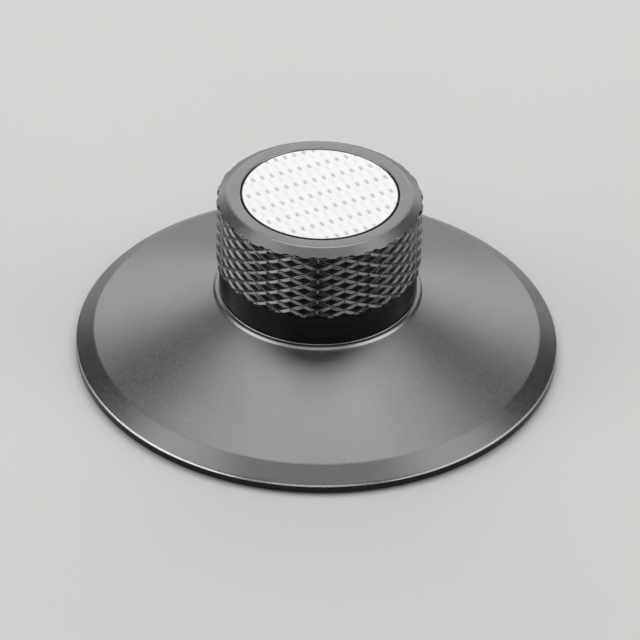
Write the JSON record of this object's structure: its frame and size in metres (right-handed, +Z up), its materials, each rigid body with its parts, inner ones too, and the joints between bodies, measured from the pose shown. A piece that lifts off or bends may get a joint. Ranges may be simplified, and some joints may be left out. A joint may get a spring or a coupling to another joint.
{
  "type": "record weight clamp",
  "caption": "Low conical record weight with a knurled grip knob, a woven-look inlay in its top, a blind spindle hole below and a soft ring that rests on the record.",
  "frame": {"origin": "on the turning axis, at the plane that the soft ring stands on", "axes": "+Z up along the turning axis, out of the knob's top; -Y is the side seen in the picture"},
  "size_m": [0.08, 0.08, 0.0305],
  "materials": {
    "anodised_metal": "bead-blasted and black anodised, satin",
    "inlay_weave": "silver-white woven fibre under a clear gloss face",
    "pad_rubber": "matt black"
  },
  "bodies": {
    "root": {"turned_body": "anodised_metal", "top_inlay": "inlay_weave", "pad_ring": "pad_rubber"}
  },
  "joints": []
}
